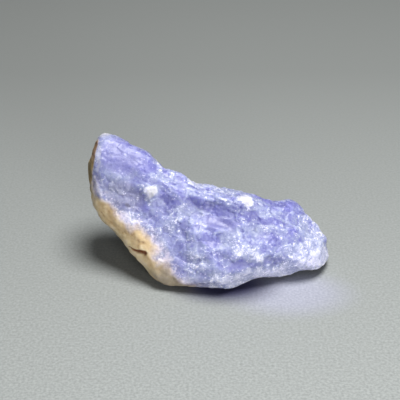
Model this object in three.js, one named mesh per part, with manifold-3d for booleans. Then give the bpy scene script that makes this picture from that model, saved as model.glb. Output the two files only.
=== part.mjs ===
// A rough piece of hackmanite, broken out of its vein and lying on a small flat spot of its
// underside. It is one stone: a thick slab, blue violet and sugary where it broke, with the
// cream skin of the host rock still on its lower left edge. Millimetres, +Z up.
//
// The stone is described in a slab frame that leans back with its broad face:
//   x  runs along the stone, towards its blunt end
//   y  runs up the broad face
//   z  runs straight out of the broad face, from the middle sheet of the slab
import * as THREE from "three";
import { ImprovedNoise } from "three/addons/math/ImprovedNoise.js";
import { mergeVertices } from "three/addons/utils/BufferGeometryUtils.js";
import Module from "manifold-3d";

// The lean of the broad face, and where the slab frame's origin sits in the world.
const LEAN = THREE.MathUtils.degToRad(32);
const STAND = { y: 0.6, z: 0.3 };

// The blunt end bends back from the middle of the stone, and so comes down near the floor.
const BEND = { from: 1, to: 19, back: 2.2 };

// The edge of the broad face, as [x, y], clockwise from the raised tip.
const FACE_EDGE = [
  [-15.8, 23.1], [-14.0, 21.4], [-11.2, 20.6], [-8.7, 19.6], [-6.4, 16.8],
  [-3.9, 16.0], [-2.3, 14.8], [0.5, 14.2], [4.5, 13.5], [7.6, 12.4],
  [10.3, 11.3], [13.0, 11.6], [14.7, 10.6], [16.8, 8.2], [19.0, 5.7],
  [20.9, 2.3], [17.4, 1.2], [13.8, -0.3], [9.2, -0.5], [5.3, -1.7],
  [1.6, -2.9], [-1.6, -2.6], [-5.1, -1.7], [-9.6, -0.2], [-12.1, 3.0],
  [-14.2, 6.3], [-16.8, 9.0], [-18.5, 12.4], [-19.1, 16.5], [-17.6, 20.1],
];

// The slab's thickness in front of and behind its middle sheet, how far in from the edge each
// side rounds over, and how square that rounding is.
const FRONT = { thick: 5.0, round: 4.8, square: 2.8 };
const BACK = { thick: 5.4, round: 5.2, square: 2.4 };

// The line through the middle of the slab that its surface is first measured from.
const SPINE = [[-13.2, 14.2], [-8, 9.8], [0, 6.2], [7, 5.4], [14, 5.4]];

// Broad swells and sinks of each side: where, how far they reach and how high they stand.
const FRONT_SWELLS = [
  { name: "belly", at: [3.2, 3.4], reach: [8.5, 3.8], high: 2.0 },
  { name: "toe", at: [-4.4, 0.4], reach: [4.2, 3.0], high: 0.9 },
  { name: "blunt end lobe", at: [15.6, 3.4], reach: [3.2, 2.4], high: 0.9 },
  { name: "crest", at: [3.6, 12.2], reach: [9.5, 1.9], high: 0.9 },
  { name: "groove under the crest", at: [-0.6, 10.3], reach: [7.5, 1.5], high: -1.1 },
  { name: "shoulder", at: [-12.8, 17.4], reach: [4.6, 3.4], high: 0.6 },
  { name: "dip below the shoulder", at: [-10.4, 12.0], reach: [4.0, 2.2], high: -0.8 },
  { name: "dip in the belly", at: [2.2, 5.4], reach: [2.2, 1.2], high: -0.5 },
];
const BACK_SWELLS = [
  { name: "heel", at: [0.0, 3.4], reach: [9.0, 4.5], high: 2.2 },
  { name: "thin tip", at: [-14.5, 16.0], reach: [5.5, 6.0], high: -1.4 },
  { name: "back hollow", at: [7.5, 9.5], reach: [4.5, 2.6], high: -1.0 },
  { name: "back ridge", at: [-3.4, 12.0], reach: [3.0, 5.0], high: 0.8 },
];

// Broad breaks that cut the rounded slab, each a shallow dish: the middle of each, the way
// out of the stone there, and the radius of the dish.
const BREAKS = [
  { name: "rind face", at: [-12.7, 3.3, 2.9], out: [-0.6, -0.5, 0.62], dish: 160 },
  { name: "left end", at: [-19.3, 15.0, -0.6], out: [-0.97, 0.06, -0.22], dish: 120 },
  { name: "upper left face", at: [-13.0, 17.0, 4.9], out: [-0.08, 0.12, 0.98], dish: 160 },
  { name: "lower left face", at: [-5.6, 3.0, 5.6], out: [-0.3, -0.1, 0.95], dish: 90 },
  { name: "right face", at: [14.8, 7.8, 4.0], out: [0.42, 0.3, 0.85], dish: 70 },
  { name: "blunt end", at: [19.25, 4.2, 0.8], out: [0.93, -0.1, 0.36], dish: 90 },
  { name: "back face", at: [3.0, 7.0, -6.6], out: [0.08, 0.22, -0.97], dish: 90 },
  { name: "back left face", at: [-12.0, 12.5, -4.3], out: [-0.3, -0.12, -0.94], dish: 90 },
  { name: "back right face", at: [14.0, 6.0, -4.2], out: [0.5, 0.15, -0.85], dish: 70 },
  { name: "underside of the tip", at: [-14.0, 5.0, -2.6], out: [-0.5, -0.8, -0.34], dish: 90 },
];
const BREAK_BLEND = 1.2; // how worn the edges between breaks are

// Small shallow chips knocked off all over, worked out by a loop.
const CHIPS = { count: 170, dish: [2.6, 7], deep: [0.1, 0.45], most: 0.45, tilt: 0.3, worn: 0.25, seed: 7 };

// Pale grains that stand proud of the broad face, flat on top.
const GRAINS = [
  { name: "upper grain", at: [-8.9, 13.4], half: [1.3, 1.15], turn: 0.35, proud: 0.5 },
  { name: "crest grain", at: [5.6, 11.5], half: [1.4, 1.15], turn: -0.3, proud: 0.5 },
];
const GRAIN_FLAT = 0.6; // the share of a grain that is flat, before its sides fall away

// A slit in the rind.
const SLIT = { from: [-12.3, 4.2], to: [-10.0, 3.4], wide: 0.36, deep: 0.6 };

// Roughness of the broken surface: big knobs, ridges drawn out along the stone, and a grain.
// Each shift picks another part of the same noise.
const ROUGH = {
  knobs: { size: 4.4, high: 0.6, shift: 3.1 },
  ridges: { size: 3.0, drawnOut: 2.2, fall: 0.4, high: 0.34, level: 0.6, shift: 7.7 },
  grain: { size: 2.0, high: 0.3, shift: 9.2 },
};
const FINER = { times: 2.03, share: 0.5, shift: 5.1 }; // the noise's second octave

// The flat spot that the stone rests on, and how the underside lifts away around it.
const FLAT_SPOT = { x: 0.6, y: 3.8, along: 7.8, across: 4.8, lift: 0.36 };
const UNDERSIDE_BUMPS = { size: 2.6, share: 0.5 };
const UNDERSIDE_WORN = 0.8; // how rounded its edge is
const SMOOTH_BELOW = 0.8; // the roughness fades out under this height
const TRIMMED_OFF = 0.08; // what the floor block cuts off the flat spot, so that it ends exactly flat
const FLOOR_BLOCK = { side: 60, deep: 20 };

const SURFACE_DETAIL = 20; // divides each edge of the starting icosahedron
const EVEN_OUT = { rounds: 12, share: 0.6 }; // how often, and how far towards the neighbours' middle
const SLOPE_STEP = 0.05;
const FARTHEST = 17; // from the spine, beyond all of the surface
const RELIEF_REACH = 2.4; // the most that the relief stands off the broken slab
const STEP = 0.25;

const noise = new ImprovedNoise();

function slabToWorld(p) {
  const out = p.z - BEND.back * THREE.MathUtils.smoothstep(p.x, BEND.from, BEND.to);
  return new THREE.Vector3(
    p.x,
    STAND.y + p.y * Math.sin(LEAN) - out * Math.cos(LEAN),
    STAND.z + p.y * Math.cos(LEAN) + out * Math.sin(LEAN),
  );
}

// Numbers from 0 to 1 that are the same on every run.
function seededNumbers(seed) {
  let state = seed;
  return () => {
    state = (state * 1664525 + 1013904223) % 4294967296;
    return state / 4294967296;
  };
}

// The larger of two fields, with the corner between them rounded.
function roundedMax(a, b, blend) {
  const near = Math.max(blend - Math.abs(a - b), 0) / blend;
  return Math.max(a, b) + (near * near * blend) / 4;
}

// The nearest point's distance on a line from a to b, in the plane of the broad face.
function lineDistance(x, y, a, b) {
  const [ex, ey] = [b.x - a.x, b.y - a.y];
  const share = ((x - a.x) * ex + (y - a.y) * ey) / (ex * ex + ey * ey);
  const t = THREE.MathUtils.clamp(share, 0, 1);
  return Math.hypot(x - a.x - t * ex, y - a.y - t * ey);
}

const edgeLine = new THREE.CatmullRomCurve3(
  FACE_EDGE.map(([x, y]) => new THREE.Vector3(x, y, 0)),
  true,
  "centripetal",
).getPoints(FACE_EDGE.length * 4);

// How far a point of the middle sheet is from the slab's edge, negative inside it.
function edgeDistance(x, y) {
  let nearest = Infinity;
  let inside = false;
  for (let i = 0; i + 1 < edgeLine.length; i++) {
    const [a, b] = [edgeLine[i], edgeLine[i + 1]];
    nearest = Math.min(nearest, lineDistance(x, y, a, b));
    const crosses = a.y > y !== b.y > y;
    if (crosses && x < a.x + ((y - a.y) * (b.x - a.x)) / (b.y - a.y)) inside = !inside;
  }
  return inside ? -nearest : nearest;
}

// How much the swells add to a side's thickness.
function swell(list, x, y) {
  return list.reduce((sum, { at, reach, high }) => {
    const far = Math.hypot((x - at[0]) / reach[0], (y - at[1]) / reach[1]);
    return sum + high * Math.exp(-far * far);
  }, 0);
}

// Each field below is negative inside the stone, and about a distance in mm near its surface.
function slab(p) {
  const { thick, round, square } = p.z > 0 ? FRONT : BACK;
  const thickHere = thick + swell(p.z > 0 ? FRONT_SWELLS : BACK_SWELLS, p.x, p.y);
  const rim = Math.max(edgeDistance(p.x, p.y) + round, 0) / round;
  const through = Math.abs(p.z) / thickHere;
  return ((rim ** square + through ** square) ** (1 / square) - 1) * Math.min(round, thickHere);
}

// A shallow dish cut into the stone: flat at its middle, curving out of the stone around it.
function dishCut(p, { at, out, dish }) {
  const off = p.clone().sub(at);
  const height = off.dot(out);
  return height - (off.lengthSq() - height * height) / (2 * dish);
}

const breaks = BREAKS.map(({ at, out, dish }) => ({
  at: new THREE.Vector3(...at),
  out: new THREE.Vector3(...out).normalize(),
  dish,
}));

// Noise in two octaves, about -1 to 1.
function fractal(x, y, z) {
  const [a, b, c] = [x, y, z].map((value) => FINER.times * value + FINER.shift);
  return noise.noise(x, y, z) + FINER.share * noise.noise(a, b, c);
}

// The underside: flat on the spot that the stone rests on, lifting away around it.
function underside(world) {
  const { x, y, along, across, lift } = FLAT_SPOT;
  const far = Math.hypot((world.x - x) / along, (world.y - y) / across);
  const { size, share } = UNDERSIDE_BUMPS;
  const bumps = 1 + share * fractal(world.x / size, world.y / size, 0);
  return 2 * lift * bumps * Math.max(0, far - 1) - world.z - TRIMMED_OFF;
}

// The slab with its breaks and its underside, before any roughness.
function brokenSlab(p) {
  const broken = breaks.reduce(
    (field, one) => roundedMax(field, dishCut(p, one), BREAK_BLEND),
    slab(p),
  );
  return roundedMax(broken, underside(slabToWorld(p)), UNDERSIDE_WORN);
}

function roughness(p) {
  const { knobs, ridges, grain } = ROUGH;
  const knob = fractal(p.x / knobs.size + knobs.shift, p.y / knobs.size, p.z / knobs.size);
  const along = (p.x - p.y * ridges.fall) / (ridges.size * ridges.drawnOut);
  const across = (p.x * ridges.fall + p.y) / ridges.size;
  const fold = fractal(along + ridges.shift, across, p.z / ridges.size);
  const ridge = ridges.level - 2 * Math.abs(fold);
  const fine = noise.noise(p.x / grain.size, p.y / grain.size + grain.shift, p.z / grain.size);
  return knobs.high * knob + ridges.high * ridge + grain.high * fine;
}

// How far the grains stand off the broad face.
function grainHeight(p) {
  if (p.z < 0) return 0;
  return GRAINS.reduce((highest, { at, half, turn, proud }) => {
    const [x, y] = [p.x - at[0], p.y - at[1]];
    const across = Math.abs(x * Math.cos(turn) - y * Math.sin(turn)) / half[0];
    const up = Math.abs(x * Math.sin(turn) + y * Math.cos(turn)) / half[1];
    const share = (1 - Math.max(across, up)) / (1 - GRAIN_FLAT);
    return Math.max(highest, proud * THREE.MathUtils.clamp(share, 0, 1));
  }, 0);
}

function slit(p) {
  if (p.z < 0) return 0;
  const [from, to] = [SLIT.from, SLIT.to].map(([x, y]) => ({ x, y }));
  return SLIT.deep * Math.max(0, 1 - lineDistance(p.x, p.y, from, to) / SLIT.wide);
}

let chips = [];

// The finished stone. Its roughness fades out at the floor, where the flat spot is worn.
function stone(p) {
  const base = brokenSlab(p);
  const rough = base - roughness(p);
  let field = rough;
  for (const chip of chips) {
    const cut = Math.min(dishCut(p, chip), rough + CHIPS.most);
    field = roundedMax(field, cut, CHIPS.worn);
  }
  const relief = field - grainHeight(p) + slit(p) - base;
  const world = slabToWorld(p);
  const kept = THREE.MathUtils.smoothstep(world.z, 0, SMOOTH_BELOW);
  return Math.max(base + relief * kept, underside(world));
}

function slope(field, p) {
  const d = SLOPE_STEP;
  return new THREE.Vector3(
    field(p.clone().setX(p.x + d)) - field(p.clone().setX(p.x - d)),
    field(p.clone().setY(p.y + d)) - field(p.clone().setY(p.y - d)),
    field(p.clone().setZ(p.z + d)) - field(p.clone().setZ(p.z - d)),
  ).normalize();
}

// The first point of a field's surface, coming in along a line from its far end.
function comeIn(field, from, out) {
  const at = (r) => from.clone().addScaledVector(out, r);
  let outer = FARTHEST;
  while (outer > STEP && field(at(outer - STEP)) > 0) outer -= STEP;
  let inner = outer - STEP;
  for (let i = 0; i < 14; i++) {
    const middle = (inner + outer) / 2;
    if (field(at(middle)) > 0) outer = middle;
    else inner = middle;
  }
  return at(inner);
}

// The point of a field's surface nearest to a point, along the line that leads out there. It is
// sought from the point itself, so that it can't leap over a groove.
function settle(field, from, out) {
  const side = field(from) > 0 ? -1 : 1;
  const at = (r) => from.clone().addScaledVector(out, side * r);
  let far = STEP;
  while (far < RELIEF_REACH && field(at(far)) * side < 0) far += STEP;
  let near = far - STEP;
  for (let i = 0; i < 12; i++) {
    const middle = (near + far) / 2;
    if (field(at(middle)) * side < 0) near = middle;
    else far = middle;
  }
  return at(near);
}

const spine = new THREE.CatmullRomCurve3(
  SPINE.map(([x, y]) => new THREE.Vector3(x, y, 0)),
  false,
  "centripetal",
);

// The point of the broken slab that a direction from the spine leads to.
function slabPoint(direction) {
  const from = spine.getPointAt((direction.x + 1) / 2);
  const out = new THREE.Vector3(direction.x ** 3, direction.y, direction.z).normalize();
  return comeIn(brokenSlab, from, out);
}

// Chips spread over the whole stone by the golden angle, each tilted a little off its place.
function makeChips() {
  const next = seededNumbers(CHIPS.seed);
  const between = ([low, high]) => low + (high - low) * next() ** 1.5;
  const either = (most) => (2 * next() - 1) * most;
  const goldenAngle = Math.PI * (3 - Math.sqrt(5));
  return Array.from({ length: CHIPS.count }, (_, i) => {
    const along = 1 - (2 * (i + 0.5)) / CHIPS.count;
    const around = Math.sqrt(1 - along * along);
    const turn = i * goldenAngle;
    const direction = new THREE.Vector3(along, around * Math.cos(turn), around * Math.sin(turn));
    const at = slabPoint(direction);
    const straight = slope(brokenSlab, at);
    const tilt = new THREE.Vector3(either(CHIPS.tilt), either(CHIPS.tilt), either(CHIPS.tilt));
    const out = straight.clone().add(tilt).normalize();
    at.addScaledVector(straight, roughness(at) - between(CHIPS.deep));
    return { at, out, dish: between(CHIPS.dish) };
  });
}

// The neighbours of each corner of a mesh, as lists of corner numbers.
function neighbours(shape) {
  const index = shape.index.array;
  const lists = Array.from({ length: shape.getAttribute("position").count }, () => new Set());
  for (let i = 0; i < index.length; i += 3) {
    const [a, b, c] = [index[i], index[i + 1], index[i + 2]];
    lists[a].add(b).add(c);
    lists[b].add(a).add(c);
    lists[c].add(a).add(b);
  }
  return lists.map((set) => [...set]);
}

// Slides the corners over the broken slab until they lie evenly.
function evenOut(points, near) {
  return points.map((p, i) => {
    const middle = near[i]
      .reduce((sum, k) => sum.add(points[k]), new THREE.Vector3())
      .divideScalar(near[i].length);
    const moved = p.clone().lerp(middle, EVEN_OUT.share);
    for (let step = 0; step < 2; step++)
      moved.addScaledVector(slope(brokenSlab, moved), -brokenSlab(moved));
    return moved;
  });
}

function makeStoneShape() {
  chips = makeChips();
  const shape = new THREE.IcosahedronGeometry(1, SURFACE_DETAIL);
  shape.deleteAttribute("normal");
  shape.deleteAttribute("uv");
  const merged = mergeVertices(shape, 1e-4);
  const position = merged.getAttribute("position");
  const near = neighbours(merged);
  let points = near.map((_, i) =>
    slabPoint(new THREE.Vector3().fromBufferAttribute(position, i).normalize()),
  );
  for (let round = 0; round < EVEN_OUT.rounds; round++) points = evenOut(points, near);
  points.forEach((p, i) => {
    const out = slope(brokenSlab, p);
    const world = slabToWorld(settle(stone, p, out));
    position.setXYZ(i, world.x, world.y, world.z);
  });
  return merged;
}

// Cuts the flat spot exactly, with a block that fills the space under the floor.
async function trimAtFloor(shape) {
  const wasm = await Module();
  wasm.setup();
  const solid = (geometry) => {
    const closed = geometry.clone();
    closed.deleteAttribute("normal");
    closed.deleteAttribute("uv");
    const merged = mergeVertices(closed, 1e-4);
    return new wasm.Manifold(
      new wasm.Mesh({
        numProp: 3,
        vertProperties: merged.getAttribute("position").array,
        triVerts: new Uint32Array(merged.index.array),
      }),
    );
  };
  const { side, deep } = FLOOR_BLOCK;
  const underFloor = new THREE.BoxGeometry(side, side, deep).translate(0, 0, -deep / 2);
  const mesh = solid(shape).subtract(solid(underFloor)).getMesh();
  const corners = new Float32Array(mesh.numVert * 3);
  for (let i = 0; i < mesh.numVert; i++) {
    const start = i * mesh.numProp;
    corners.set(mesh.vertProperties.subarray(start, start + 3), i * 3);
  }
  const trimmed = new THREE.BufferGeometry();
  trimmed.setAttribute("position", new THREE.BufferAttribute(corners, 3));
  trimmed.setIndex(new THREE.BufferAttribute(new Uint32Array(mesh.triVerts), 1));
  trimmed.computeVertexNormals();
  return trimmed;
}

const stoneMaterial = new THREE.MeshStandardMaterial({
  color: new THREE.Color(0.56, 0.56, 0.84),
  roughness: 0.45,
  metalness: 0,
  flatShading: true,
});

const hackmanite = new THREE.Mesh(await trimAtFloor(makeStoneShape()), stoneMaterial);
hackmanite.name = "hackmanite";

const group = new THREE.Group();
group.add(hackmanite);

export default group;
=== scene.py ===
import math

import bmesh
import bpy
import numpy as np
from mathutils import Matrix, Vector, noise


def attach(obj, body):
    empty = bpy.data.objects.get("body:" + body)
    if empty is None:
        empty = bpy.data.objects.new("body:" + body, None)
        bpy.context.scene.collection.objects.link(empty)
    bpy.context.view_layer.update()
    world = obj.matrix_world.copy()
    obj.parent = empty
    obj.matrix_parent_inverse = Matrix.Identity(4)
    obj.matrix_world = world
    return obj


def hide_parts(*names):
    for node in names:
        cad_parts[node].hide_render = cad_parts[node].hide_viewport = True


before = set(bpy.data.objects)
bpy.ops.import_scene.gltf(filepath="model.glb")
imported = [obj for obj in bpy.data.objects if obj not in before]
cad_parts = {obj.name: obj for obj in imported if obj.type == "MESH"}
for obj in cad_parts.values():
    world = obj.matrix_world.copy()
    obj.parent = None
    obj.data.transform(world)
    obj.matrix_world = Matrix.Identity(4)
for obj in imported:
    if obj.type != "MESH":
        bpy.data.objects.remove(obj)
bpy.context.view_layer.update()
mm = 0.001
print("frame loaded")


# Small helpers for node trees and numbers

def fromSrgb(red, green, blue):
    # 0-255 display colour to the linear colour that a shader wants
    def one(value):
        share = value / 255
        return share / 12.92 if share <= 0.04045 else ((share + 0.055) / 1.055) ** 2.4
    return (one(red), one(green), one(blue), 1.0)


def addNode(tree, kind, **settings):
    node = tree.nodes.new(kind)
    for name, value in settings.items():
        setattr(node, name, value)
    return node


def feed(tree, node, key, value):
    # a socket is linked, anything else is set as the input's own value
    if isinstance(value, bpy.types.NodeSocket):
        tree.links.new(value, node.inputs[key])
    else:
        node.inputs[key].default_value = value


def calc(tree, operation, *values):
    node = addNode(tree, "ShaderNodeMath", operation=operation)
    for place, value in enumerate(values):
        feed(tree, node, place, value)
    return node.outputs[0]


def addUp(tree, *values):
    total = values[0]
    for value in values[1:]:
        total = calc(tree, "ADD", total, value)
    return total


def vectorCalc(tree, operation, *values):
    node = addNode(tree, "ShaderNodeVectorMath", operation=operation)
    for place, value in enumerate(values):
        feed(tree, node, "Scale" if operation == "SCALE" and place == 1 else place, value)
    return node.outputs["Value"] if operation == "DOT_PRODUCT" else node.outputs["Vector"]


def mixColours(tree, amount, first, second):
    node = addNode(tree, "ShaderNodeMix", data_type="RGBA")
    for key, value in ((0, amount), (6, first), (7, second)):
        feed(tree, node, key, value)
    return node.outputs[2]


def softNoise(tree, place, size, detail):
    node = addNode(tree, "ShaderNodeTexNoise", noise_dimensions="3D")
    feed(tree, node, "Vector", place)
    feed(tree, node, "Scale", calc(tree, "DIVIDE", 1.0, size))
    feed(tree, node, "Detail", detail)
    return node.outputs[0]


def rampBetween(tree, amount, low, high):
    node = addNode(tree, "ShaderNodeMapRange", interpolation_type="SMOOTHSTEP")
    feed(tree, node, "Value", amount)
    feed(tree, node, "From Min", low)
    feed(tree, node, "From Max", high)
    return node.outputs["Result"]


def weighted(tree, amount, weight, middle=0.5):
    return calc(tree, "MULTIPLY", calc(tree, "SUBTRACT", amount, middle), weight)


def smoothStep(low, high, values):
    share = np.clip((values - low) / (high - low), 0, 1)
    return share * share * (3 - 2 * share)


# The camera stands where the photograph was taken from

photoView = {
    "lens": 100.0,  # mm, on a 36 mm wide sensor
    "sensor": 36.0,
    "elevation": 32.0,  # degrees above the floor
    "distance": 175.0,  # mm from the point that it looks at
    "lookAt": (-1.26, 6.84, 10.23),  # mm, inside the stone
}


def makeCamera():
    data = bpy.data.cameras.new("photoCamera")
    data.lens = photoView["lens"]
    data.sensor_width = photoView["sensor"]
    data.clip_start = 0.01
    camera = bpy.data.objects.new("photoCamera", data)
    tilt = math.radians(photoView["elevation"])
    back = Vector((0, -math.cos(tilt), math.sin(tilt)))
    camera.location = (Vector(photoView["lookAt"]) + back * photoView["distance"]) * mm
    camera.rotation_euler = (math.pi / 2 - tilt, 0, 0)
    bpy.context.scene.collection.objects.link(camera)
    bpy.context.scene.camera = camera


makeCamera()
print("camera placed")


# A pale grey floor, darker towards the back as painted shade, and soft light from above and a little
# behind

studio = {
    "floorHalf": 1.2,  # m
    "floorBack": fromSrgb(120, 123, 121),
    "floorFront": fromSrgb(150, 154, 152),
    "floorRoughness": 0.75,
    # painted light and painted shadow on the floor, in m: a pale lavender pool of light through the
    # stone further out, and a dark violet painted shadow under its front edge
    "paintedLightAndShadow": [
        # painted light: pale lavender, where light through the stone falls on the floor
        {"at": (0.0125, -0.004, 0.0), "reach": (0.0125, 0.0075, 1.0), "colour": fromSrgb(150, 152, 164)},
        # painted shadow: dark violet, under the stone's front edge
        {"at": (0.0026, -0.0016, 0.0), "reach": (0.0108, 0.0066, 1.0), "colour": fromSrgb(40, 39, 68)},
    ],
    "paintedPatchFull": 0.3,  # the share of its reach within which a painted patch is at its strongest
    "fleckSize": 0.0004,  # m
    "fleckDetail": 2.0,
    "fleckContrast": 1.1,
    "fadeFrom": 0.075,  # m behind the stone, where the painted shade on the floor is darkest
    "fadeTo": -0.06,  # m in front of it, where the floor is palest
    "key": {"at": (0.045, 0.004, 0.30), "size": 0.15, "watts": 1.45},
    "fill": {"at": (0.12, -0.31, 0.055), "size": 0.16, "watts": 0.98},
    "sky": 0.055,
}


def paintedPatchAmount(tree, place, paintedPatch):
    offset = vectorCalc(tree, "SUBTRACT", place, paintedPatch["at"])
    shares = vectorCalc(tree, "MULTIPLY", offset, tuple(1 / side for side in paintedPatch["reach"]))
    far = addNode(tree, "ShaderNodeVectorMath", operation="LENGTH")
    feed(tree, far, 0, shares)
    return rampBetween(tree, far.outputs["Value"], 1.0, studio["paintedPatchFull"])


def paperColourWithPaintedLight(tree):
    # grey paper with a fine fleck that fades towards the back, painted shade that darkens it towards the
    # back, and painted light and shadow at the stone's front edge
    place = addNode(tree, "ShaderNodeTexCoord").outputs["Object"]
    depth = addNode(tree, "ShaderNodeSeparateXYZ")
    feed(tree, depth, 0, place)
    fade = addNode(tree, "ShaderNodeMapRange")
    feed(tree, fade, "Value", depth.outputs["Y"])
    feed(tree, fade, "From Min", studio["fadeFrom"])
    feed(tree, fade, "From Max", studio["fadeTo"])
    forward = fade.outputs["Result"]
    # painted shade: the paper is darker towards the back
    colour = mixColours(tree, forward, studio["floorBack"], studio["floorFront"])
    # painted light and painted shadow laid on the paper's colour
    for paintedPatch in studio["paintedLightAndShadow"]:
        colour = mixColours(tree, paintedPatchAmount(tree, place, paintedPatch), colour, paintedPatch["colour"])
    fleck = softNoise(tree, place, studio["fleckSize"], studio["fleckDetail"])
    amount = calc(tree, "MULTIPLY", weighted(tree, fleck, 1.0), forward)
    brightness = calc(tree, "ADD", calc(tree, "MULTIPLY", amount, studio["fleckContrast"]), 1.0)
    return vectorCalc(tree, "SCALE", colour, brightness)


def makeFloor():
    half = studio["floorHalf"]
    mesh = bpy.data.meshes.new("floor")
    mesh.from_pydata(
        [(-half, -half, 0), (half, -half, 0), (half, half, 0), (-half, half, 0)], [], [(0, 1, 2, 3)]
    )
    floor = bpy.data.objects.new("floor", mesh)
    bpy.context.scene.collection.objects.link(floor)
    material = bpy.data.materials.new("floorPaper")
    material.use_nodes = True
    tree = material.node_tree
    shader = tree.nodes["Principled BSDF"]
    tree.links.new(paperColourWithPaintedLight(tree), shader.inputs["Base Color"])
    shader.inputs["Roughness"].default_value = studio["floorRoughness"]
    mesh.materials.append(material)


def makeLight(name):
    plan = studio[name]
    data = bpy.data.lights.new(name, "AREA")
    data.shape = "DISK"
    data.size = plan["size"]
    data.energy = plan["watts"]
    light = bpy.data.objects.new(name, data)
    light.location = plan["at"]
    aim = Vector(photoView["lookAt"]) * mm - light.location
    light.rotation_euler = aim.to_track_quat("-Z", "Y").to_euler()
    bpy.context.scene.collection.objects.link(light)


def makeSky():
    sky = bpy.data.worlds.new("studioSky")
    sky.use_nodes = True
    sky.node_tree.nodes["Background"].inputs["Color"].default_value = (1.0, 1.0, 1.0, 1.0)
    sky.node_tree.nodes["Background"].inputs["Strength"].default_value = studio["sky"]
    bpy.context.scene.world = sky


makeFloor()
makeLight("key")
makeLight("fill")
makeSky()
bpy.context.scene.view_settings.view_transform = "Standard"
print("floor and lights set")


# The stone. Lengths are in mm until its mesh is finished.
# Its broad face leans back, so places on it are given as [along the stone, up the face].

stonePlan = {
    "lean": 32.0,  # degrees
    "standY": 0.6,
    "standZ": 0.3,
    "easeRounds": 4,  # how often the coarse facets are eased before the grains go on
    "easeBy": 0.5,
    "pushBack": 0.52,  # each round is pushed back by this, so that the tips don't shrink
    "merge": 0.001,  # points of the solid that are closer than this are joined
    "skin": 0.17,  # the spacing of the finished mesh
}

rindPlan = {
    "facing": (-0.695, -0.719, -0.25),  # along, up and out: the way out of the stone into the host rock
    "depth": 2.2,  # where the skin starts, along that way
    "wobble": 0.9,
    "wobbleSize": 2.4,
    "ragged": 0.35,
    "raggedSize": 0.8,
    "bulge": {"at": (-9.6, 6.3), "reach": 2.0, "far": 1.6},  # where it climbs higher on the face
    "blend": 0.7,
    "bandWide": 2.6,
    # the olive face at the raised end starts past this line, and runs from foot to top
    "end": {"along": -17.0, "slant": 0.17, "top": 20.8, "foot": 13.6, "blend": 0.12,
            "footBlend": 1.0, "topBlend": 0.7, "turnedFrom": -0.6, "turnedTo": -0.2},
    # a wedge, full to one share of its width and gone at another
    "slit": {"from": (-12.4, 4.4), "to": (-9.9, 3.5), "thin": 0.06, "thick": 0.4,
             "wander": 0.16, "wanderSize": 0.9, "full": 0.5, "gone": 1.3},
}

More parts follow.
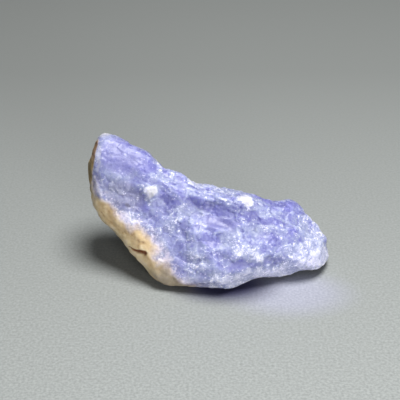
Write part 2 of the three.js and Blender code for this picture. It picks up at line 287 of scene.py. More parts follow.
# Marks on the broad face: [along, up, half length, half height, turn in degrees, strength]
faceMarks = {
    "pale": [
        [-8.8, 13.2, 1.4, 1.2, 20, 1.3],  # upper grain
        [5.7, 11.6, 1.3, 1.0, -20, 1.3],  # crest grain
        [-1.9, 14.6, 1.9, 0.6, -12, 0.85],  # streaks on the skyline
        [-8.0, 17.1, 0.6, 1.2, 30, 0.8],  # edge of the skyline's step
        [-16.0, 22.4, 1.0, 0.6, 30, 0.9],  # raised tip
        [-1.6, 2.1, 2.2, 1.3, 10, 0.75],  # low on the belly
        [6.0, 3.9, 2.9, 1.4, -15, 0.7],  # middle of the belly
        [7.4, 3.1, 1.0, 0.9, 0, 1.0],
        [10.9, 1.0, 2.6, 0.45, 44, 0.95],  # vein rising to the right
        [13.9, 3.7, 1.6, 1.3, 20, 1.0],  # clusters at the blunt end
        [15.6, 3.6, 1.3, 2.0, 0, 0.85],
        [16.4, 7.3, 1.6, 3.2, 35, 0.65],  # right slope
        [17.6, 2.6, 2.4, 2.2, 0, 1.0],
        [-4.8, 9.0, 1.4, 1.8, 0, 0.55],
        [-12.4, 8.8, 4.6, 1.3, -38, 0.8],  # granular band above the skin
        [-8.0, 4.8, 1.1, 3.6, 22, 0.55],
        [9.6, 7.4, 1.4, 0.6, -15, 0.6],
        [2.2, 13.1, 2.4, 0.4, -10, 0.5],
        [7.6, 0.1, 9.0, 1.5, 9, 1.0],  # thin lower edge, painted light where light comes through
        # painted light on the blunt end's lower part
        [16.4, 1.6, 3.2, 1.5, 8, 1.1],
    ],
    "deep": [
        [-0.3, 11.0, 4.6, 0.75, -19, 0.85],  # groove under the crest
        [8.5, 8.7, 3.4, 0.7, -14, 0.7],
        [0.5, 5.3, 1.9, 1.0, -10, 0.9],
        [5.0, 1.6, 2.0, 1.0, 5, 0.7],
        [12.6, 11.0, 1.5, 0.9, -20, 0.9],
        [12.9, 7.0, 0.9, 0.6, 0, 0.8],
        [-10.7, 17.3, 2.8, 1.4, -25, 0.7],
        [-13.6, 18.6, 3.0, 2.4, -30, 0.75],  # upper left face, darker violet, partly painted shade of a face turned from the light
        [1.9, 8.3, 2.7, 1.3, -8, 0.9],
        [-9.9, 10.9, 1.3, 0.9, 0, 0.8],
        [-6.0, 11.7, 1.5, 1.0, -35, 0.8],
        [-4.0, 15.0, 1.3, 0.7, -30, 0.6],
        [-11.4, 19.8, 3.2, 0.6, -28, 0.6],  # along the skyline
        [-6.6, 16.0, 1.4, 0.6, -50, 0.6],
        [9.2, 11.9, 2.0, 0.6, -18, 0.8],
        [12.6, 11.4, 1.8, 0.5, 0, 0.7],
        [10.4, 5.6, 1.5, 0.8, -30, 0.5],
    ],
    "grey": [
        [-13.1, 12.2, 3.6, 2.2, -25, 0.8],  # darker granular zones
        [-7.7, 4.4, 1.2, 3.0, 22, 0.6],
        [-1.6, -1.4, 2.6, 1.2, 0, 0.4],
        [-13.8, 18.2, 3.8, 3.0, -30, 0.3],  # upper left face, greyer, partly painted shade of a face turned from the light
        [1.9, 8.1, 2.7, 1.3, -8, 0.35],  # smooth grey-blue patch
    ],
    "smooth": [
        [-13.5, 17.6, 4.3, 3.4, -30, 0.8],
        [1.9, 8.1, 2.7, 1.3, -8, 1.0],
        [-2.4, -0.9, 2.0, 0.9, 0, 0.8],
        [17.8, 2.4, 1.7, 1.4, 0, 0.8],
        [5.2, 1.4, 2.2, 1.2, 0, 0.4],
        [-15.2, 21.4, 2.4, 1.6, -25, 1.0],
        [8.6, 0.2, 8.6, 1.3, 9, 0.9],
    ],
    "paintedSkinShade": [  # painted shade: the skin's greyer lower end and outer edge, where it curves under
        [-5.6, -0.6, 3.2, 2.2, -30, 0.95],
        [-15.4, 6.6, 2.6, 0.7, -50, 0.5],
    ],
    "brown": [  # stained spots of the skin
        [-16.2, 8.9, 1.7, 0.4, -52, 1.0],
        [-12.6, 6.5, 0.8, 0.4, -30, 0.6],
        [-8.4, 2.2, 0.8, 0.5, -60, 0.5],
        # darker brown along the skin's lower outer edge, partly stain and partly painted shade
        [-11.4, 1.9, 4.0, 0.7, -48, 0.8],
    ],
    "dark": [[-12.4, 11.2, 0.55, 0.45, 0, 1.0]],  # a small dark speck
    "glassy": [  # the greyer middles of the grains, and the clear cap of the tip
        [-8.7, 13.1, 0.95, 0.8, 20, 1.3],
        [5.4, 11.7, 1.0, 0.7, -20, 1.2],
        [-16.1, 22.5, 1.3, 0.8, 30, 1.2],
        [-17.0, 18.8, 0.4, 2.8, 8, 0.6],
    ],
    "streaked": [
        [-6.5, 13.6, 4.5, 2.6, -38, 0.8],
        [1.5, 11.6, 8.0, 2.2, -17, 1.0],
        [9.5, 9.0, 7.0, 2.4, -17, 0.9],
    ],
}

markPlan = {
    "full": 0.55,  # the share of its reach to which a mark is at its strongest
    "gone": 1.3,  # the share at which it has faded out
    "wanderSize": 1.6,
    "wanderAlong": 0.9,
    "wanderUp": 0.7,
    "facingFrom": -0.5,  # how far a place faces out of the broad face before these marks show
    "facingTo": 0.0,
    # away from the broad face the same marks lie in patches, each from its own part of the noise
    "patchSize": 3.4,
    "patchStrength": 0.9,
    "patchFrom": 0.1,
    "patchTo": 0.5,
    "patchShift": {
        "pale": 5.0, "deep": 13.0, "grey": 29.0, "smooth": 41.0, "streaked": 53.0, "glassy": 83.0,
        "dark": 97.0,
    },
    "onSkin": ("paintedSkinShade", "brown"),  # these stay on the skin and have no patches
    "belowFrom": 0.1,  # how far a place faces down before it counts as the underside that gets painted shade
    "belowTo": 0.8,
}

grainPlan = {
    "perSquareMm": 0.3,
    "inClusters": 0.7,  # how many more for each square mm of a pale cluster
    "fewerOnSmooth": 0.85,
    "smallest": 0.4,
    "largest": 1.3,
    "smallShare": 2.6,  # the higher it is, the more of the grains are small
    "narrowest": 0.75,
    "widest": 1.3,
    "turn": 6.28,  # radians
    "sunk": 0.3,  # how far the middle of a grain lies under the surface, as a share of its size
    "seed": 4,
}

reliefPlan = {
    "facetSize": 1.7,
    "facetHeight": 0.19,
    "fineSize": 0.62,
    "fineHeight": 0.065,
    "streakSize": 0.8,
    "streakHeight": 0.1,
    "skinSize": 1.1,
    "skinHeight": 0.26,
    "skinDetail": 3.0,
    "slitDepth": 0.35,
    "shift": 11.0,
    "calmOnSmooth": 0.8,
    "streaksElsewhere": 0.25,
    "bothWays": 2.0,  # the patterns run half their height either way, and this makes it whole
    "easeRounds": 2,
    "easeBy": 0.5,
    "pushBack": 0.3,
}

# How a point's depth below its neighbourhood is read: near by, then further out
pitPlan = [{"rounds": 4, "weight": 6.0}, {"rounds": 16, "weight": 2.5}]

# The crest's streaks fall to the right, in degrees, and are about three times as long as wide
streakPlan = {"fall": 19.0, "drawnOut": 0.32}

leanAngle = math.radians(stonePlan["lean"])
upFace = (0.0, math.sin(leanAngle), math.cos(leanAngle))
outOfFace = (0.0, -math.cos(leanAngle), math.sin(leanAngle))


def slabPlaces(points):
    # along the stone, up its broad face and out of it
    stand = np.array([0.0, stonePlan["standY"], stonePlan["standZ"]])
    moved = points - stand
    return np.stack([moved[:, 0], moved @ np.array(upFace), moved @ np.array(outOfFace)], 1)


def noiseAt(points, size, shift):
    offset = Vector((shift, shift * 0.7, -shift))
    return np.array([noise.noise(Vector(point) / size + offset) for point in points])


def readPoints(mesh):
    points = np.zeros(len(mesh.vertices) * 3)
    mesh.vertices.foreach_get("co", points)
    return points.reshape(-1, 3)


def readNormals(mesh):
    normals = np.zeros(len(mesh.vertices) * 3, np.float32)
    mesh.vertex_normals.foreach_get("vector", normals)
    return normals.reshape(-1, 3).astype(float)


def writeAmounts(mesh, name, values):
    old = mesh.attributes.get(name)
    if old:
        mesh.attributes.remove(old)
    mesh.attributes.new(name, "FLOAT", "POINT").data.foreach_set("value", values.astype(np.float32))


def markAmount(rows, places, wander):
    amount = np.zeros(len(places))
    for along, up, halfLength, halfHeight, turn, strength in rows:
        angle = math.radians(turn)
        x = places[:, 0] + wander[0] - along
        y = places[:, 1] + wander[1] - up
        far = np.hypot(
            (x * math.cos(angle) + y * math.sin(angle)) / halfLength,
            (-x * math.sin(angle) + y * math.cos(angle)) / halfHeight,
        )
        left = 1 - smoothStep(markPlan["full"], markPlan["gone"], far)
        amount = np.maximum(amount, strength * left)
    return amount


def endAmount(places, normals):
    # the olive face at the raised end, seen nearly edge on; it is painted only where it faces left, and
    # its darker colour is partly the skin's own and partly painted shade
    plan = rindPlan["end"]
    line = plan["along"] - plan["slant"] * (plan["top"] - places[:, 1])
    past = smoothStep(-plan["blend"], plan["blend"], line - places[:, 0])
    high = smoothStep(plan["foot"] - plan["footBlend"], plan["foot"] + plan["footBlend"], places[:, 1])
    under = 1 - smoothStep(plan["top"], plan["top"] + plan["topBlend"], places[:, 1])
    return past * high * under * smoothStep(plan["turnedFrom"], plan["turnedTo"], -normals[:, 0])


def rindAmounts(points, places, normals):
    # the cream skin covers the side that faced the host rock, with a pale band beside it
    depth = places @ np.array(rindPlan["facing"])
    depth += rindPlan["wobble"] * noiseAt(points, rindPlan["wobbleSize"], shift=3.0)
    depth += rindPlan["ragged"] * noiseAt(points, rindPlan["raggedSize"], shift=8.0)
    bulge = rindPlan["bulge"]
    away = np.hypot(places[:, 0] - bulge["at"][0], places[:, 1] - bulge["at"][1]) / bulge["reach"]
    depth += bulge["far"] * np.exp(-away * away)
    blend = rindPlan["blend"]
    side = smoothStep(rindPlan["depth"] - blend, rindPlan["depth"] + blend, depth)
    band = smoothStep(rindPlan["depth"] - rindPlan["bandWide"], rindPlan["depth"], depth)
    return np.maximum(side, endAmount(places, normals)), band


def slitAmount(points, places):
    # a ragged wedge, wider at its right end
    slit = rindPlan["slit"]
    start = np.array(slit["from"])
    way = np.array(slit["to"]) - start
    ragged = slit["wander"] * noiseAt(points, slit["wanderSize"], shift=61.0)
    spots = places[:, :2] + ragged[:, None]
    share = np.clip(((spots - start) @ way) / (way @ way), 0, 1)
    nearest = start + share[:, None] * way
    wide = slit["thin"] + (slit["thick"] - slit["thin"]) * share
    far = np.linalg.norm(spots - nearest, axis=1) / wide
    return 1 - smoothStep(slit["full"], slit["gone"], far)


def patchAmount(points, shift):
    spread = noiseAt(points, markPlan["patchSize"], shift)
    return markPlan["patchStrength"] * smoothStep(markPlan["patchFrom"], markPlan["patchTo"], spread)


def markStone(mesh):
    # writes each mark's amount at each point of the mesh
    points, normals = readPoints(mesh), readNormals(mesh)
    places = slabPlaces(points)
    facing = normals @ np.array(outOfFace)
    front = smoothStep(markPlan["facingFrom"], markPlan["facingTo"], facing)
    wander = (
        markPlan["wanderAlong"] * noiseAt(points, markPlan["wanderSize"], shift=21.0),
        markPlan["wanderUp"] * noiseAt(points, markPlan["wanderSize"], shift=34.0),
    )
    rind, band = rindAmounts(points, places, normals)
    for name, rows in faceMarks.items():
        onFace = markAmount(rows, places, wander)
        if name in markPlan["onSkin"]:
            writeAmounts(mesh, name, onFace * rind)
        else:
            patches = patchAmount(points, markPlan["patchShift"][name])
            writeAmounts(mesh, name, (front * onFace + (1 - front) * patches) * (1 - rind))
    writeAmounts(mesh, "rind", rind)
    writeAmounts(mesh, "band", band)
    # painted shade: the skin is darker and browner where it faces down
    below = smoothStep(markPlan["belowFrom"], markPlan["belowTo"], -normals[:, 2])
    writeAmounts(mesh, "below", below)
    writeAmounts(mesh, "slit", front * slitAmount(points, places))
    writeAmounts(mesh, "olive", endAmount(places, normals))


def newTree(name, inputs):
    tree = bpy.data.node_groups.new(name, "GeometryNodeTree")
    tree.is_modifier = True
    tree.interface.new_socket(name="Geometry", in_out="INPUT", socket_type="NodeSocketGeometry")
    for label, kind in inputs.items():
        tree.interface.new_socket(name=label, in_out="INPUT", socket_type=kind)
    tree.interface.new_socket(name="Geometry", in_out="OUTPUT", socket_type="NodeSocketGeometry")
    entry = addNode(tree, "NodeGroupInput")
    leave = addNode(tree, "NodeGroupOutput")
    return tree, entry, leave


def finishTree(tree, leave, geometry, material):
    realized = addNode(tree, "GeometryNodeRealizeInstances")
    feed(tree, realized, 0, geometry)
    painted = addNode(tree, "GeometryNodeSetMaterial")
    feed(tree, painted, "Geometry", realized.outputs[0])
    feed(tree, painted, "Material", material)
    tree.links.new(painted.outputs[0], leave.inputs[0])


def settle(stone):
    # turns what the modifiers show into the object's own plain mesh
    graph = bpy.context.evaluated_depsgraph_get()
    graph.update()
    made = bpy.data.meshes.new_from_object(stone.evaluated_get(graph))
    old = stone.data
    stone.modifiers.clear()
    stone.data = made
    bpy.data.meshes.remove(old)


def applyTree(stone, tree, values):
    modifier = stone.modifiers.new(tree.name, "NODES")
    modifier.node_group = tree
    for item in tree.interface.items_tree:
        if item.item_type == "SOCKET" and item.in_out == "INPUT" and item.name in values:
            modifier[item.identifier] = values[item.name]
    settle(stone)


def randomBetween(tree, low, high, seed, kind="FLOAT"):
    node = addNode(tree, "FunctionNodeRandomValue", data_type=kind)
    first = 0 if kind == "FLOAT_VECTOR" else 2
    feed(tree, node, first, low)
    feed(tree, node, first + 1, high)
    feed(tree, node, "Seed", seed)
    return node.outputs[0 if kind == "FLOAT_VECTOR" else 1]


def namedAmount(tree, name):
    node = addNode(tree, "GeometryNodeInputNamedAttribute", data_type="FLOAT")
    node.inputs["Name"].default_value = name
    return node.outputs["Attribute"]


def sugaryBreakTree():
    # many-sided crystal grains grown half into the broken surface
    tree, entry, leave = newTree("sugaryBreak", {
        "Grains per mm2": "NodeSocketFloat",
        "Smallest grain": "NodeSocketFloat",
        "Largest grain": "NodeSocketFloat",
        "Sunk": "NodeSocketFloat",
        "In clusters": "NodeSocketFloat",
        "Seed": "NodeSocketInt",
        "Material": "NodeSocketMaterial",
    })
    given = entry.outputs
    seed = given["Seed"]
    spread = addNode(tree, "GeometryNodeDistributePointsOnFaces")
    bare = calc(tree, "MULTIPLY", namedAmount(tree, "rind"), -1.0)
    rough = calc(tree, "MULTIPLY", namedAmount(tree, "smooth"), -grainPlan["fewerOnSmooth"])
    amount = calc(tree, "MAXIMUM", addUp(tree, bare, rough, 1.0), 0.0)
    clustered = calc(tree, "MULTIPLY", namedAmount(tree, "pale"), given["In clusters"])
    density = calc(tree, "ADD", given["Grains per mm2"], clustered)
    feed(tree, spread, "Mesh", given["Geometry"])
    feed(tree, spread, "Density", calc(tree, "MULTIPLY", density, amount))
    feed(tree, spread, "Seed", seed)
    chance = randomBetween(tree, 0.0, 1.0, calc(tree, "ADD", seed, 1.0))
    share = calc(tree, "POWER", chance, grainPlan["smallShare"])
    span = calc(tree, "SUBTRACT", given["Largest grain"], given["Smallest grain"])
    size = calc(tree, "ADD", given["Smallest grain"], calc(tree, "MULTIPLY", share, span))
    sunk = addNode(tree, "GeometryNodeSetPosition")
    down = calc(tree, "MULTIPLY", calc(tree, "MULTIPLY", given["Sunk"], size), -1.0)
    feed(tree, sunk, "Geometry", spread.outputs["Points"])
    feed(tree, sunk, "Offset", vectorCalc(tree, "SCALE", spread.outputs["Normal"], down))
    grain = addNode(tree, "GeometryNodeMeshIcoSphere")
    feed(tree, grain, "Radius", 0.5)
    feed(tree, grain, "Subdivisions", 1)
    turn = randomBetween(tree, (0.0,) * 3, (grainPlan["turn"],) * 3, seed, "FLOAT_VECTOR")
    narrow, wide = (grainPlan["narrowest"],) * 3, (grainPlan["widest"],) * 3
    stretch = randomBetween(tree, narrow, wide, calc(tree, "ADD", seed, 2.0), "FLOAT_VECTOR")
    placed = addNode(tree, "GeometryNodeInstanceOnPoints")
    feed(tree, placed, "Points", sunk.outputs[0])
    feed(tree, placed, "Instance", grain.outputs["Mesh"])
    feed(tree, placed, "Rotation", turn)
    feed(tree, placed, "Scale", vectorCalc(tree, "SCALE", stretch, size))
    both = addNode(tree, "GeometryNodeJoinGeometry")
    tree.links.new(placed.outputs[0], both.inputs[0])
    tree.links.new(given["Geometry"], both.inputs[0])
    finishTree(tree, leave, both.outputs[0], given["Material"])
    return tree


def tiltedFacets(tree, place, size, height):
    # each cell of the pattern is one flat facet with a lean of its own
    scaled = vectorCalc(tree, "SCALE", place, calc(tree, "DIVIDE", 1.0, size))
    cells = addNode(tree, "ShaderNodeTexVoronoi", voronoi_dimensions="3D", feature="F1")
    feed(tree, cells, "Vector", scaled)
    feed(tree, cells, "Scale", 1.0)
    fromMiddle = vectorCalc(tree, "SUBTRACT", scaled, cells.outputs["Position"])
    lean = vectorCalc(tree, "SUBTRACT", cells.outputs["Color"], (0.5, 0.5, 0.5))
    return calc(tree, "MULTIPLY", vectorCalc(tree, "DOT_PRODUCT", fromMiddle, lean), height)


def streakPlace(tree, place):
    # the place drawn out along the crest
    angle = math.radians(streakPlan["fall"])
    acrossWay = (math.sin(angle), math.cos(angle) * upFace[1], math.cos(angle) * upFace[2])
    alongWay = (math.cos(angle), -math.sin(angle) * upFace[1], -math.sin(angle) * upFace[2])
    along = vectorCalc(tree, "DOT_PRODUCT", place, alongWay)
    drawn = addNode(tree, "ShaderNodeCombineXYZ")
    feed(tree, drawn, "X", calc(tree, "MULTIPLY", along, streakPlan["drawnOut"]))
    feed(tree, drawn, "Y", vectorCalc(tree, "DOT_PRODUCT", place, acrossWay))
    feed(tree, drawn, "Z", vectorCalc(tree, "DOT_PRODUCT", place, outOfFace))
    return drawn.outputs[0]


def brokenReliefTree():
    # facets, streaks and the skin's soft bumps, all moved along the surface's own normal
    names = ["Facet size", "Facet height", "Fine size", "Fine height", "Streak size", "Streak height",
             "Skin size", "Skin height", "Slit depth", "Shift"]
    sockets = {name: "NodeSocketFloat" for name in names}
    sockets["Material"] = "NodeSocketMaterial"
    tree, entry, leave = newTree("brokenRelief", sockets)
    given = entry.outputs
    spot = addNode(tree, "GeometryNodeInputPosition").outputs[0]
    shift = addNode(tree, "ShaderNodeCombineXYZ")
    for axis in ("X", "Y", "Z"):
        feed(tree, shift, axis, given["Shift"])
    place = vectorCalc(tree, "ADD", spot, shift.outputs[0])
    facets = tiltedFacets(tree, place, given["Facet size"], given["Facet height"])
    fine = tiltedFacets(tree, place, given["Fine size"], given["Fine height"])
    drawnPlace = streakPlace(tree, place)
    streaks = tiltedFacets(tree, drawnPlace, given["Streak size"], given["Streak height"])
    streaked = calc(tree, "ADD", namedAmount(tree, "streaked"), reliefPlan["streaksElsewhere"])
    drawn = calc(tree, "MULTIPLY", streaks, streaked)
    rind, smooth = namedAmount(tree, "rind"), namedAmount(tree, "smooth")
    calmed = calc(tree, "MULTIPLY", smooth, reliefPlan["calmOnSmooth"])
    rough = calc(tree, "SUBTRACT", 1.0, calmed)
    crystal = calc(tree, "MULTIPLY", calc(tree, "SUBTRACT", 1.0, rind), rough)
    whole = calc(tree, "MULTIPLY", crystal, reliefPlan["bothWays"])
    broken = calc(tree, "MULTIPLY", addUp(tree, facets, fine, drawn), whole)
    bumps = weighted(tree, softNoise(tree, place, given["Skin size"], reliefPlan["skinDetail"]), 1.0)
    skin = calc(tree, "MULTIPLY", calc(tree, "MULTIPLY", bumps, given["Skin height"]), rind)
    raised = calc(tree, "ADD", broken, calc(tree, "MULTIPLY", skin, reliefPlan["bothWays"]))
    slit = calc(tree, "MULTIPLY", namedAmount(tree, "slit"), given["Slit depth"])
    height = calc(tree, "SUBTRACT", raised, slit)
    moved = addNode(tree, "GeometryNodeSetPosition")
    feed(tree, moved, "Geometry", given["Geometry"])
    normal = addNode(tree, "GeometryNodeInputNormal").outputs[0]
    feed(tree, moved, "Offset", vectorCalc(tree, "SCALE", normal, height))
    finishTree(tree, leave, moved.outputs[0], given["Material"])
    return tree


def edgeEnds(mesh):
    ends = np.zeros(len(mesh.edges) * 2, np.int32)
    mesh.edges.foreach_get("vertices", ends)
    return ends.reshape(-1, 2).T


def averager(mesh):
    # gives a function that averages values over each point's neighbours
    first, second = edgeEnds(mesh)
    size = len(mesh.vertices)
    count = np.bincount(np.concatenate([first, second]), minlength=size)

    def average(values):
        columns = [
            np.bincount(first, column[second], size) + np.bincount(second, column[first], size)
            for column in values.T
        ]
        return np.stack(columns, 1) / count[:, None]
    return average


def ease(mesh, rounds, easeBy, pushBack):
    # wears sharp steps down, and pushes back a little so that thin places keep their size
    average = averager(mesh)
    points = readPoints(mesh)
    for _ in range(rounds):
        points += easeBy * (average(points) - points)
        points -= pushBack * (average(points) - points)
    mesh.vertices.foreach_set("co", points.ravel())
    mesh.update()


def markPits(mesh):
    # how deep each point lies below its neighbourhood, at two scales, for painted shade in the hollows
    points, normals = readPoints(mesh), readNormals(mesh)
    average = averager(mesh)
    spread = points
    depth = 0
    for reach in pitPlan:
        for _ in range(reach["rounds"]):
            spread = average(spread)
        depth = depth + reach["weight"] * ((spread - points) * normals).sum(1)
    writeAmounts(mesh, "pits", np.clip(depth, -1, 1))


# The stone's finish: violet crystal clouded with white, and a cream skin

crystalColours = {
    "deep": fromSrgb(112, 113, 172),
    "violet": fromSrgb(128, 131, 179),
    "blue": fromSrgb(142, 148, 182),
    "lavender": fromSrgb(165, 170, 194),
    "white": fromSrgb(224, 222, 240),
    "grey": fromSrgb(140, 140, 166),
    "glassy": fromSrgb(190, 189, 197),
    "dark": fromSrgb(74, 72, 104),
    "skinPale": fromSrgb(202, 183, 148),
    "skinTan": fromSrgb(188, 164, 126),
    "skinBrown": fromSrgb(134, 106, 74),
    "skinPink": fromSrgb(198, 181, 160),
    # partly painted shade: the skin on the left-facing raised end
    "olive": fromSrgb(136, 116, 76),
    "oliveTop": fromSrgb(96, 66, 44),
    # painted shade colour for the skin's lower end and outer edge
    "paintedSkinShade": fromSrgb(112, 106, 99),
    "slit": fromSrgb(120, 72, 44),
    "bandPink": fromSrgb(212, 204, 219),
}

crystalFinish = {
    "roughness": 0.37,
    "skinRoughness": 0.72,
    "roughnessByGrain": 0.3,
    "scatter": 0.9,
    "scatterReach": (2.2, 2.2, 2.9),  # mm, for red, green and blue
    "bump": 0.3,
    "bumpHeight": 0.12,
    "bumpByGrain": 0.5,
}

# Cloudy patterns that the colours follow: size in mm, and detail
noisePatterns = {
    "cloud": (3.4, 2.0),
    "mottle": (1.2, 3.0),
    "speck": (0.36, 3.0),
    "dust": (0.16, 2.0),
    "sugary": (1.9, 3.0),
    "thread": (0.75, 2.0),
    "threadBreaks": (0.5, 2.0),
    "streak": (0.45, 3.0),
    "stain": (3.0, 3.0),
    "fineStain": (0.7, 4.0),
}

cellSizes = {"grain": 0.42, "flake": 0.4}  # mm

# Where an amount starts to show, and where it is full
rampEnds = {
    "thread": (0.035, 0.0),
    "threadBreaks": (0.4, 0.62),
    "sugary": (0.45, 0.6),
    "bright": (0.7, 0.95),
    "dim": (0.3, 0.1),
    "white": (0.3, 1.0),
    "band": (-0.5, 0.5),
    "oliveTop": (16.4, 18.4),  # mm above the floor
}

# How strongly each pattern or mark moves the violet, the white, the skin's stain and the band's edge;
# pits and undersides are painted shade
toneWeights = {
    "dim": -0.15, "cloud": 0.7, "mottle": 0.65, "grain": 0.06, "pale": 0.26, "deep": -0.48, "pits": -0.2,
}
whiteWeights = {"pale": 0.52, "mottle": 0.7, "network": 0.75, "deep": -0.3, "pits": -0.2, "dim": -0.15}
# the stain also darkens the skin where it faces down and in hollows, as painted shade
stainAndShadeWeights = {"fineStain": 0.5, "pits": 0.12, "below": 0.22, "brown": 0.17}
bandWeights = {"mottle": 3.0, "speck": 1.4, "network": 0.4}

# How strongly the sugary patches speckle, and what calms them
speckleWeights = {"speck": 1.4, "dust": 2.2}
calmWeights = {"pale": -0.25, "smooth": -0.6}

# How far a mark's own colour covers what lies under it
cover = {"grey": 0.7, "glassy": 0.75, "dark": 0.8, "paintedSkinShade": 0.75, "olive": 0.85}

crystalTone = {
    "middle": 0.46,
    "streaksElsewhere": 0.25,
    "sugaryShare": 0.8,  # speckle of the sugary patches
    "clearShare": 0.25,  # and of the clear crystal between them
    "flakes": 0.3,
    "stops": [(0.05, "deep"), (0.32, "violet"), (0.56, "blue"), (0.9, "lavender")],
}

skinStops = [(0.28, "skinPink"), (0.42, "skinPale"), (0.64, "skinTan"), (0.8, "skinBrown")]


def attributeAmount(tree, name):
    return addNode(tree, "ShaderNodeAttribute", attribute_name=name).outputs["Fac"]


def colourRamp(tree, amount, stops):
    node = addNode(tree, "ShaderNodeValToRGB")
    feed(tree, node, "Fac", amount)
    band = node.color_ramp
    while len(band.elements) < len(stops):
        band.elements.new(0.5)
    for element, (at, name) in zip(band.elements, stops):
        element.position = at
        element.color = crystalColours[name]
    return node.outputs["Color"]


def cellAmount(tree, place, size):
    # one random amount for each small grain
    cells = addNode(tree, "ShaderNodeTexVoronoi", voronoi_dimensions="3D", feature="F1")
    feed(tree, cells, "Vector", place)
    feed(tree, cells, "Scale", 1.0 / size)
    parts = addNode(tree, "ShaderNodeSeparateColor")
    feed(tree, parts, "Color", cells.outputs["Color"])
    return parts.outputs["Red"]


def addWeighted(tree, total, amounts, weights):
    # a pattern counts from its middle, a mark from nothing
    for name, weight in weights.items():
        middle = 0.5 if name in noisePatterns or name in cellSizes else 0.0
        total = calc(tree, "ADD", total, weighted(tree, amounts[name], weight, middle))
    return total


def coverWith(tree, amounts, name, under):
    amount = calc(tree, "MULTIPLY", amounts[name], cover[name])
    return mixColours(tree, amount, under, crystalColours[name])


def gatherAmounts(tree, place):
    # the marks written on the mesh, and the patterns that break them up
    written = [*faceMarks, "rind", "band", "below", "slit", "olive", "pits"]
    amounts = {name: attributeAmount(tree, name) for name in written}
    for name, (size, detail) in noisePatterns.items():
        spot = streakPlace(tree, place) if name == "streak" else place
        amounts[name] = softNoise(tree, spot, size, detail)
    for name, size in cellSizes.items():
        amounts[name] = cellAmount(tree, place, size)
    # fine threads run where a noise crosses its middle
    crossing = calc(tree, "ABSOLUTE", weighted(tree, amounts["thread"], 1.0))
    threads = rampBetween(tree, crossing, *rampEnds["thread"])
    broken = rampBetween(tree, amounts["threadBreaks"], *rampEnds["threadBreaks"])
    amounts["network"] = calc(tree, "MULTIPLY", threads, broken)
    # some patches are sugary and speckled, and the crystal between them is clear and smooth
    calm = addWeighted(tree, 1.0, amounts, calmWeights)
    patch = rampBetween(tree, amounts["sugary"], *rampEnds["sugary"])
    share = calc(tree, "MULTIPLY", patch, crystalTone["sugaryShare"])
    rough = calc(tree, "MULTIPLY", calc(tree, "ADD", share, crystalTone["clearShare"]), calm)
    speckle = addWeighted(tree, 0.0, amounts, speckleWeights)
    amounts["speckle"] = calc(tree, "MULTIPLY", speckle, rough)
    bright = rampBetween(tree, amounts["flake"], *rampEnds["bright"])
    shining = calc(tree, "MULTIPLY", bright, crystalTone["flakes"])
    amounts["flakes"] = calc(tree, "MULTIPLY", shining, rough)
    dim = rampBetween(tree, amounts["flake"], *rampEnds["dim"])
    amounts["dim"] = calc(tree, "MULTIPLY", dim, rough)
    streaked = calc(tree, "ADD", amounts["streaked"], crystalTone["streaksElsewhere"])
    amounts["drawn"] = calc(tree, "MULTIPLY", weighted(tree, amounts["streak"], 1.0), streaked)
    return amounts


def violetCrystal(tree, amounts):
    start = calc(tree, "ADD", crystalTone["middle"], amounts["drawn"])
    tone = addWeighted(tree, start, amounts, toneWeights)
    colour = coverWith(tree, amounts, "grey", colourRamp(tree, tone, crystalTone["stops"]))
    sugar = addUp(tree, amounts["speckle"], amounts["flakes"], amounts["drawn"])
    white = rampBetween(tree, addWeighted(tree, sugar, amounts, whiteWeights), *rampEnds["white"])
    colour = mixColours(tree, white, colour, crystalColours["white"])
    for name in ("glassy", "dark"):
        colour = coverWith(tree, amounts, name, colour)
    ragged = rampBetween(tree, addWeighted(tree, 0.0, amounts, bandWeights), *rampEnds["band"])
    band = calc(tree, "MULTIPLY", amounts["band"], ragged)
    return mixColours(tree, band, colour, crystalColours["bandPink"])


def creamSkin(tree, amounts, place):
    # stain, with painted shade on the skin's underside and in hollows
    stain = addWeighted(tree, amounts["stain"], amounts, stainAndShadeWeights)
    # painted shade greys the skin's lower end and outer edge
    colour = coverWith(tree, amounts, "paintedSkinShade", colourRamp(tree, stain, skinStops))
    colour = mixColours(tree, amounts["slit"], colour, crystalColours["slit"])
    heights = addNode(tree, "ShaderNodeSeparateXYZ")
    feed(tree, heights, 0, place)
    high = rampBetween(tree, heights.outputs["Z"], *rampEnds["oliveTop"])
    olive = mixColours(tree, high, crystalColours["olive"], crystalColours["oliveTop"])
    # olive on the left-facing raised end, partly painted shade
    amount = calc(tree, "MULTIPLY", amounts["olive"], cover["olive"])
    return mixColours(tree, amount, colour, olive)


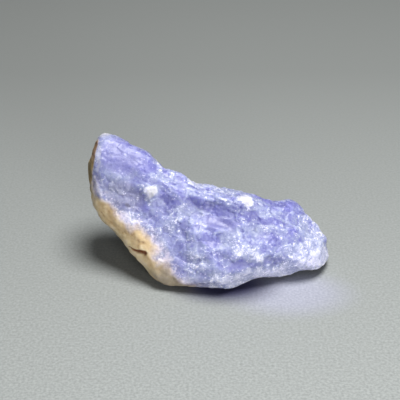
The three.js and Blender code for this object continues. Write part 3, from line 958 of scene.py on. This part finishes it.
def makeCrystal():
    material = bpy.data.materials.new("hackmaniteCrystal")
    material.use_nodes = True
    tree = material.node_tree
    shader = tree.nodes["Principled BSDF"]
    spot = addNode(tree, "ShaderNodeTexCoord").outputs["Object"]
    place = vectorCalc(tree, "SCALE", spot, 1 / mm)
    amounts = gatherAmounts(tree, place)
    crystal, skin = violetCrystal(tree, amounts), creamSkin(tree, amounts, place)
    tree.links.new(mixColours(tree, amounts["rind"], crystal, skin), shader.inputs["Base Color"])
    roughness = addNode(tree, "ShaderNodeMapRange")
    feed(tree, roughness, "Value", amounts["rind"])
    feed(tree, roughness, "To Min", crystalFinish["roughness"])
    feed(tree, roughness, "To Max", crystalFinish["skinRoughness"])
    byGrain = weighted(tree, amounts["grain"], crystalFinish["roughnessByGrain"])
    tree.links.new(addUp(tree, roughness.outputs["Result"], byGrain), shader.inputs["Roughness"])
    shader.inputs["Subsurface Weight"].default_value = crystalFinish["scatter"]
    shader.inputs["Subsurface Radius"].default_value = crystalFinish["scatterReach"]
    shader.inputs["Subsurface Scale"].default_value = mm
    bump = addNode(tree, "ShaderNodeBump")
    raised = weighted(tree, amounts["grain"], crystalFinish["bumpByGrain"])
    feed(tree, bump, "Strength", crystalFinish["bump"])
    feed(tree, bump, "Distance", crystalFinish["bumpHeight"] * mm)
    feed(tree, bump, "Height", addUp(tree, amounts["speck"], amounts["dust"], raised))
    tree.links.new(bump.outputs[0], shader.inputs["Normal"])
    return material


def seatStone(mesh):
    # nothing reaches under the floor, and the mesh goes back to metres
    points = readPoints(mesh)
    points[:, 2] = np.maximum(points[:, 2], 0)
    mesh.vertices.foreach_set("co", (points * mm).ravel())
    mesh.update()


def coarseStone():
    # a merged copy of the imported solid, in mm, with its coarse facets eased
    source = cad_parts["hackmanite"].data
    mesh = bpy.data.meshes.new("stoneMesh")
    work = bmesh.new()
    work.from_mesh(source)
    bmesh.ops.remove_doubles(work, verts=work.verts, dist=stonePlan["merge"] * mm)
    bmesh.ops.scale(work, vec=(1 / mm,) * 3, verts=work.verts)
    work.to_mesh(mesh)
    work.free()
    ease(mesh, stonePlan["easeRounds"], stonePlan["easeBy"], stonePlan["pushBack"])
    return mesh


def makeStone():
    material = makeCrystal()
    stone = bpy.data.objects.new("stone", coarseStone())
    bpy.context.scene.collection.objects.link(stone)
    print("coarse stone:", len(stone.data.polygons), "faces")
    markStone(stone.data)
    applyTree(stone, sugaryBreakTree(), {
        "Grains per mm2": grainPlan["perSquareMm"],
        "Smallest grain": grainPlan["smallest"],
        "Largest grain": grainPlan["largest"],
        "Sunk": grainPlan["sunk"],
        "In clusters": grainPlan["inClusters"],
        "Seed": grainPlan["seed"],
        "Material": material,
    })
    print("grains set:", len(stone.data.polygons), "faces")
    fuse = stone.modifiers.new("fuse", "REMESH")
    fuse.mode = "VOXEL"
    fuse.voxel_size = stonePlan["skin"]
    settle(stone)
    print("fused to one skin:", len(stone.data.polygons), "faces")
    markStone(stone.data)
    applyTree(stone, brokenReliefTree(), {
        "Facet size": reliefPlan["facetSize"],
        "Facet height": reliefPlan["facetHeight"],
        "Fine size": reliefPlan["fineSize"],
        "Fine height": reliefPlan["fineHeight"],
        "Streak size": reliefPlan["streakSize"],
        "Streak height": reliefPlan["streakHeight"],
        "Skin size": reliefPlan["skinSize"],
        "Skin height": reliefPlan["skinHeight"],
        "Slit depth": reliefPlan["slitDepth"],
        "Shift": reliefPlan["shift"],
        "Material": material,
    })
    ease(stone.data, reliefPlan["easeRounds"], reliefPlan["easeBy"], reliefPlan["pushBack"])
    markPits(stone.data)
    seatStone(stone.data)
    print("relief cut:", len(stone.data.polygons), "faces")
    return stone


stone = makeStone()
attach(stone, "root")
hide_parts("hackmanite")
print("stone finished")
